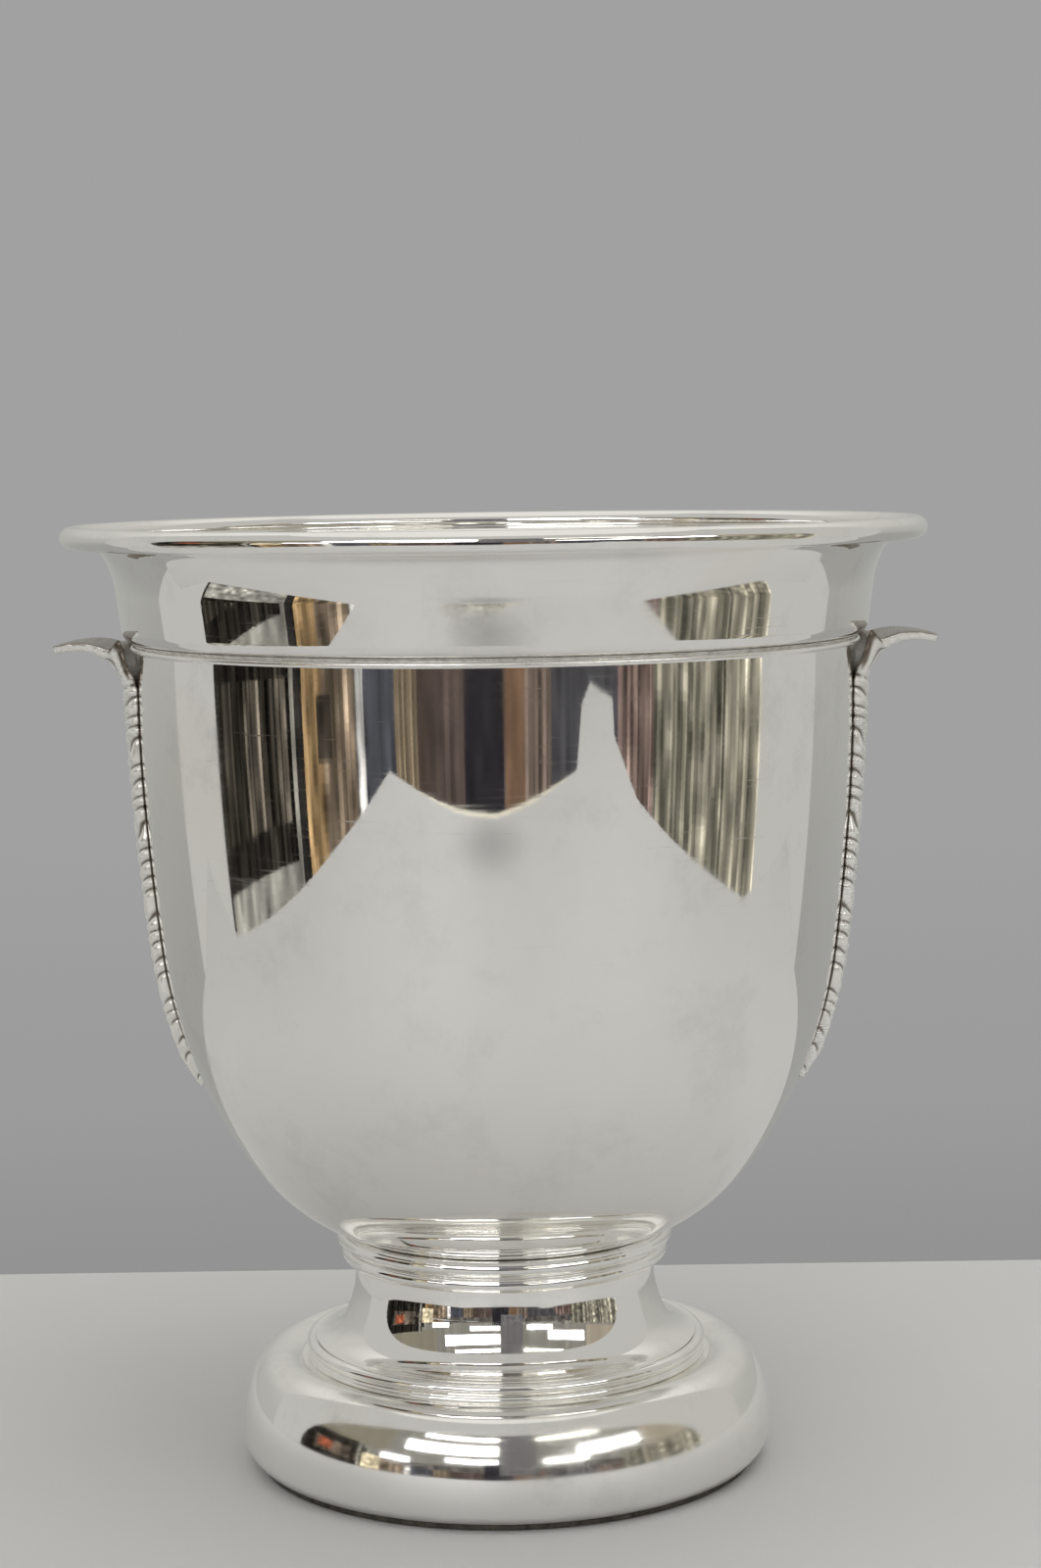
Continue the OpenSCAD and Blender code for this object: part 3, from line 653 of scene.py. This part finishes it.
# A cream edging shows past the sheet along its front only.
TRIM = 1.03
FRONT_Y, FRONT_X = -0.9, 0.35
front = (TABLE_EDGE[:, 1] < FRONT_Y) & (np.abs(TABLE_EDGE[:, 0]) < FRONT_X)
trim_edge = np.where(front[:, None], TABLE_EDGE * TRIM, TABLE_EDGE)
trim_corners = np.column_stack([trim_edge, np.full(len(TABLE_EDGE), -0.0012)])
trim = as_object("table_trim", trim_corners, [list(range(len(corners)))])
cream = bpy.data.materials.new("cream_trim")
cream.use_nodes = True
cream.node_tree.nodes["Principled BSDF"].inputs["Base Color"].default_value = (0.86, 0.82, 0.68, 1)
trim.data.materials.append(cream)
paper = bpy.data.materials.new("pale_paper")
paper.use_nodes = True
paper_tree = paper.node_tree
paper_shader = paper_tree.nodes["Principled BSDF"]
paper_shader.inputs["Roughness"].default_value = 0.6
paper_coords = node_of(paper_tree, "ShaderNodeTexCoord").outputs["Object"]
paper_tone = node_of(paper_tree, "ShaderNodeMix", data_type="RGBA")
paper_tone.inputs["A"].default_value = (0.575, 0.575, 0.575, 1)
paper_tone.inputs["B"].default_value = (0.54, 0.54, 0.54, 1)
paper_tree.links.new(noise_on(paper_tree, paper_coords, (1, 1, 1), 9.0, 6.0), paper_tone.inputs["Factor"])
# Painted shadow: the paper is darkened in a soft round spot near its front edge, as a shadow falling on the
# table.
paper_painted_shadow = node_of(paper_tree, "ShaderNodeMix", data_type="RGBA")
paper_painted_shadow.inputs["B"].default_value = (0.30, 0.30, 0.30, 1)
shade_at = node_of(paper_tree, "ShaderNodeMapping", vector_type="TEXTURE", Location=(-0.03, -0.82, 0.0),
                   Scale=(0.20, 0.16, 1.0))
shade = node_of(paper_tree, "ShaderNodeTexGradient", gradient_type="SPHERICAL")
paper_tree.links.new(paper_coords, shade_at.inputs["Vector"])
paper_tree.links.new(shade_at.outputs[0], shade.inputs["Vector"])
paper_tree.links.new(ranged(paper_tree, shade.outputs["Fac"], 0, 1, 0, 0.8), paper_painted_shadow.inputs["Factor"])
paper_tree.links.new(paper_tone.outputs["Result"], paper_painted_shadow.inputs["A"])
paper_tree.links.new(paper_painted_shadow.outputs["Result"], paper_shader.inputs["Base Color"])
table.data.materials.append(paper)

# %% Room seen in the reflections
SCREEN_FAR = 20.0
CELL = 0.5
SCREEN_AZ, SCREEN_EL = (-120, 120), (-40, 62)
TENT = (191, 190, 186)
az = np.arange(SCREEN_AZ[0], SCREEN_AZ[1], CELL) + CELL / 2
el = np.arange(SCREEN_EL[0], SCREEN_EL[1], CELL) + CELL / 2
AZ, EL = np.meshgrid(az, el, indexing="ij")
room = np.broadcast_to(grey(TENT), (*AZ.shape, 3)).copy()
rng = np.random.default_rng(7)
ARCH_LEFT, ARCH_RIGHT, ARCH_TOP = -98.0, 91.0, 35.0
arch_mid, arch_half = (ARCH_LEFT + ARCH_RIGHT) / 2, (ARCH_RIGHT - ARCH_LEFT) / 2
inside = (EL < ARCH_TOP * np.sqrt(np.clip(1 - np.abs((AZ - arch_mid) / arch_half)**2.4, 0, 1))) \
    & (np.abs(AZ - arch_mid) < arch_half)


def hang(az_from, az_to, el_from, el_to, colour, streaks=0.0, seed_width=1.0):
    """Paints one thing in the room. streaks varies its brightness from column to column."""
    here = inside & (AZ >= az_from) & (AZ < az_to) & (EL >= el_from) & (EL < el_to)
    columns = np.floor((az - az_from) / seed_width).astype(int)
    chance = rng.normal(0, 1, columns.max() - columns.min() + 1)[columns - columns.min()]
    factor = np.exp(streaks * chance)[:, None] * np.ones_like(EL)
    room[here] = (grey(colour)[None, None, :] * factor[..., None])[here]


THINGS = [
    ("far wall", -99, 92, -40, 36, (96, 92, 88), 0.25, 2.0),
    ("ceiling", -99, 92, 9, 36, (140, 137, 129), 0.1, 3.0),
    ("ceiling, left end", -99, -52, 14, 36, (140, 134, 118), 0.05, 3.0),
    ("ceiling, right end", 62, 92, 12, 36, (165, 155, 138), 0.05, 3.0),
    ("window frame, left", -98, -64, -40, 15, (34, 32, 28), 0.5, 0.9),
    ("window sill", -97, -66, -40, -14.2, (150, 148, 140), 0.05, 4.0),
    ("shelf", -90, -62, 1.5, 10, (74, 66, 58), 0.5, 2.5),
    ("orange lamp", -88, -80, 4, 9, (150, 84, 60), 0.1, 2.0),
    ("white post", -66.5, -65.0, -40, 16, (150, 147, 138), 0.0, 1.0),
    ("dark post", -65, -62, -40, 12, (44, 42, 40), 0.2, 1.0),
    ("tan cupboard", -62, -47, -40, 9, (128, 106, 76), 0.3, 1.5),
    ("cream board", -64, -55, -1, 9, (226, 212, 178), 0.03, 1.5),
    ("brown board", -55, -44, -40, 8, (122, 108, 92), 0.3, 1.5),
    ("dark chair", -57, -52, -9.6, -6, (60, 54, 48), 0.1, 1.0),
    ("pale door edge", -43.5, -41.0, -40, 6, (186, 184, 180), 0.2, 0.5),
    ("blue-grey door", -41, -31, -40, 5, (72, 73, 79), 0.12, 1.2),
    ("hanging coats", -31, -24, -40, 5, (132, 118, 98), 0.5, 0.8),
    ("brown wall", -24, -10, -40, 5, (84, 72, 66), 0.12, 2.0),
    ("dark column", -9.5, 2.5, -40, 12, (50, 47, 51), 0.05, 2.0),
    ("brown panel", -20, 20, -40, 5, (92, 80, 75), 0.15, 1.5),
    ("dark column, lower", -9.5, 2.5, -40, 12, (46, 44, 48), 0.05, 2.0),
    ("wood panel", 3, 9, -40, 6, (116, 92, 74), 0.1, 1.5),
    ("door gap", 9, 17, -40, 6, (104, 92, 84), 0.35, 0.8),
    ("slate board", 17, 40, -40, 5, (76, 75, 78), 0.08, 1.5),
    ("red spines", 38, 51, -40, 4, (98, 84, 78), 0.45, 0.8),
    ("cluttered shelves", 50, 91, -40, 11, (132, 128, 114), 0.55, 0.9),
    ("window glints, high", -97, -68, -12, -5, (54, 50, 44), 0.9, 0.8),
    ("lamp 1", -45, -4, 18.5, 26.5, (255, 255, 255), 0.0, 1.0),
    ("lamp 2", -26, -4, 12, 15.5, (250, 250, 252), 0.0, 1.0),
    ("lamp 3", -55, -42, 9, 12.5, (245, 245, 250), 0.0, 1.0),
    ("lamp 4", -38, -4, 30, 32.8, (255, 255, 252), 0.0, 1.0),
    ("lamp 5", 16, 35, 11.5, 15, (255, 255, 252), 0.0, 1.0),
    ("lamp 6", 32, 60, 16, 23, (255, 255, 255), 0.0, 1.0),
    ("lamp 7", 14, 44, 30.5, 32.5, (250, 248, 238), 0.0, 1.0),
    ("camera column", -3, 13, 3, 36, (112, 110, 110), 0.04, 2.0),
]
for name, *box, colour, streaks, grain in THINGS:
    hang(*box, colour, streaks, grain)
LAMP_GAIN = 4.2
lamps = inside & (room.min(axis=2) > 0.85)
room[lamps] *= LAMP_GAIN
PATCH, PATCH_DEPTH, CEILING_EL = 1.5, 0.5, 11.0
PLAIN_AZ, PLAIN_SHARE = 40.0, 0.35
# Uneven patches break up the straight edges of the low things. Ahead they are fainter.
blotch = rng.normal(0, 1, (int(np.ptp(SCREEN_AZ) / PATCH) + 2, int(np.ptp(SCREEN_EL) / PATCH) + 2))
at_az, at_el = (AZ - SCREEN_AZ[0]) / PATCH, (EL - SCREEN_EL[0]) / PATCH
i0, j0 = at_az.astype(int), at_el.astype(int)
fi, fj = at_az - i0, at_el - j0
field = (blotch[i0, j0] * (1 - fi) * (1 - fj) + blotch[i0 + 1, j0] * fi * (1 - fj)
         + blotch[i0, j0 + 1] * (1 - fi) * fj + blotch[i0 + 1, j0 + 1] * fi * fj)
dim = inside & (EL < CEILING_EL)
depth_here = PATCH_DEPTH * np.where(np.abs(AZ) > PLAIN_AZ, 1.0, PLAIN_SHARE)
room[dim] *= np.exp(depth_here * field)[dim][:, None]
edge_az = np.radians(np.arange(SCREEN_AZ[0], SCREEN_AZ[1] + CELL / 2, CELL))
edge_el = np.radians(np.arange(SCREEN_EL[0], SCREEN_EL[1] + CELL / 2, CELL))
EA, EE = np.meshgrid(edge_az, edge_el, indexing="ij")
screen_points = SCREEN_FAR * np.stack([np.sin(EA) * np.cos(EE), -np.cos(EA) * np.cos(EE), np.sin(EE)], 2)
index = np.arange(EA.size).reshape(EA.shape)
cells = np.stack([index[:-1, :-1], index[1:, :-1], index[1:, 1:], index[:-1, 1:]], 2).reshape(-1, 4)
screen = as_object("room_screen", screen_points.reshape(-1, 3), cells.tolist())
glow = screen.data.attributes.new("glow", "FLOAT_COLOR", "CORNER")
rgba = np.concatenate([room, np.ones((*AZ.shape, 1))], 2).reshape(-1, 4)
glow.data.foreach_set("color", np.repeat(rgba, 4, axis=0).astype(np.float32).ravel())
screen.visible_camera = False
screen.visible_shadow = False
lit = bpy.data.materials.new("room_glow")
lit.use_nodes = True
lit.node_tree.nodes.clear()
emit = node_of(lit.node_tree, "ShaderNodeEmission", Strength=1.0)
reader = node_of(lit.node_tree, "ShaderNodeAttribute", attribute_name="glow")
out = node_of(lit.node_tree, "ShaderNodeOutputMaterial")
lit.node_tree.links.new(reader.outputs["Color"], emit.inputs["Color"])
lit.node_tree.links.new(emit.outputs[0], out.inputs["Surface"])
lit.cycles.emission_sampling = "NONE"
screen.data.materials.append(lit)
print(len(THINGS), "things in the room,", len(cells), "cells")

# %% Tent and backdrop
world = bpy.data.worlds.new("tent")
bpy.context.scene.world = world
world.use_nodes = True
tree = world.node_tree
tree.nodes.clear()
direction = node_of(tree, "ShaderNodeTexCoord").outputs["Generated"]
split = node_of(tree, "ShaderNodeSeparateXYZ")
tree.links.new(direction, split.inputs[0])
height = split.outputs["Z"]


def shades(stops):
    """A colour ramp over the direction's height, from -1 straight down to 1 straight up."""
    ramp = tree.nodes.new("ShaderNodeValToRGB")
    ramp.color_ramp.interpolation = "EASE"
    while len(ramp.color_ramp.elements) < len(stops):
        ramp.color_ramp.elements.new(0.5)
    for element, (at, level) in zip(ramp.color_ramp.elements, stops):
        element.position = (at + 1) / 2
        element.color = (*grey(level), 1)
    remap = node_of(tree, "ShaderNodeMath", operation="MULTIPLY_ADD")
    remap.inputs[1].default_value = 0.5
    remap.inputs[2].default_value = 0.5
    tree.links.new(height, remap.inputs[0])
    tree.links.new(remap.outputs[0], ramp.inputs[0])
    return ramp.outputs[0]


tent = shades([(-1.0, (150, 150, 148)), (-0.25, (160, 160, 157)), (0.0, (178, 178, 174)),
               (0.4, (198, 197, 192)), (0.8, (232, 231, 226))])
# Painted shade: the backdrop seen by the camera is painted darker towards the table seam.
backdrop = shades([(-0.25, (147, 147, 147)), (-0.19, (156, 156, 156)), (-0.1, (161, 161, 161)),
                   (0.1, (161, 161, 161))])
path = node_of(tree, "ShaderNodeLightPath")
choose = node_of(tree, "ShaderNodeMix", data_type="RGBA")
tree.links.new(path.outputs["Is Camera Ray"], choose.inputs["Factor"])
tree.links.new(tent, choose.inputs["A"])
tree.links.new(backdrop, choose.inputs["B"])
background = node_of(tree, "ShaderNodeBackground", Strength=1.0)
world_out = node_of(tree, "ShaderNodeOutputWorld")
tree.links.new(choose.outputs["Result"], background.inputs["Color"])
tree.links.new(background.outputs[0], world_out.inputs["Surface"])
print("tent and backdrop set")

# %% Soft light above
lamp = bpy.data.objects.new("soft_light", bpy.data.lights.new("soft_light", "AREA"))
bpy.context.collection.objects.link(lamp)
lamp.data.shape = "DISK"
lamp.data.size = 1.1
lamp.data.energy = 6.0
lamp.location = (0.15, -0.25, 1.35)
lamp.rotation_euler = (math.radians(-10), math.radians(6), 0)
lamp.visible_glossy = False

# Light bounces many times between the beads and the bowl before it leaves the crease.
GLOSSY_BOUNCES = 8
scene = bpy.context.scene
scene.view_settings.view_transform = "Standard"
scene.cycles.glossy_bounces = GLOSSY_BOUNCES
scene.view_settings.look = "None"
